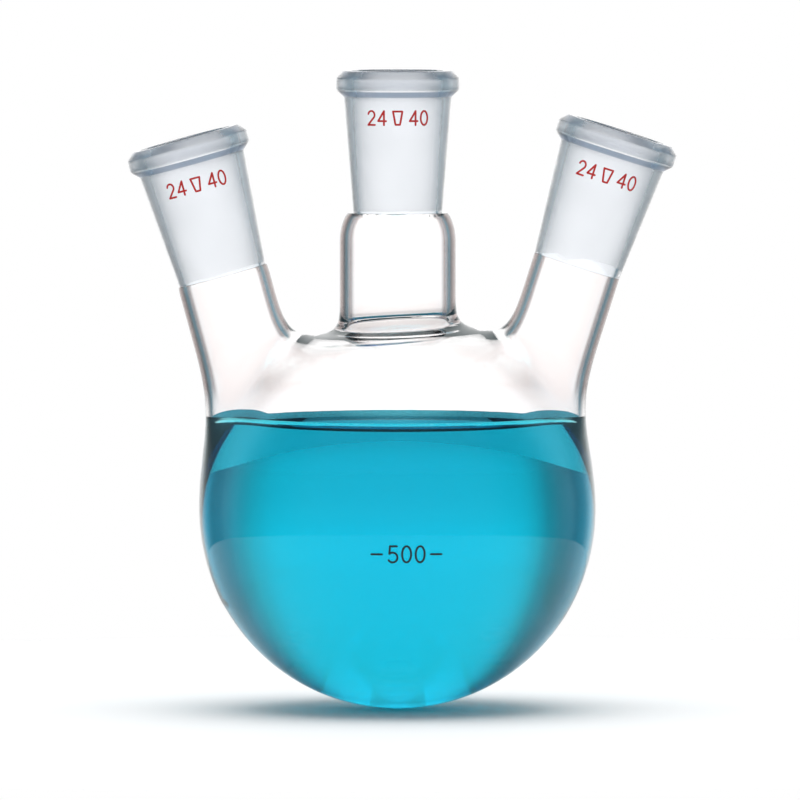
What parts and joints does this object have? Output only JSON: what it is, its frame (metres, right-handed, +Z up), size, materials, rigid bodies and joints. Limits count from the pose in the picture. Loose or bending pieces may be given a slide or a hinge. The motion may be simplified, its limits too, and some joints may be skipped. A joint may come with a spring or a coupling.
{
  "type": "three-neck round bottom flask",
  "caption": "Round bottom glass flask with three tubular necks, each ending in a ground taper joint with a beaded rim, partly full of a blue solution.",
  "frame": {"origin": "bottom pole of the round bulb, where it sits in a cork ring or a heating mantle", "axes": "+Z up along the middle neck, -X towards the left neck and +X towards the right neck as seen from the front, -Y the front, where the marks are"},
  "size_m": [0.1454, 0.1051, 0.1691],
  "materials": {
    "clear_glass": "polished",
    "ground_glass": "matte",
    "blue_solution": "polished",
    "red_enamel": "satin",
    "dark_enamel": "satin"
  },
  "bodies": {
    "root": {"bulb": "clear_glass", "centre_shank": "clear_glass", "left_shank": "clear_glass", "right_shank": "clear_glass", "centre_joint": "ground_glass", "left_joint": "ground_glass", "right_joint": "ground_glass", "solution": "blue_solution", "centre_joint_mark": "red_enamel", "left_joint_mark": "red_enamel", "right_joint_mark": "red_enamel", "capacity_mark": "dark_enamel"}
  },
  "joints": []
}
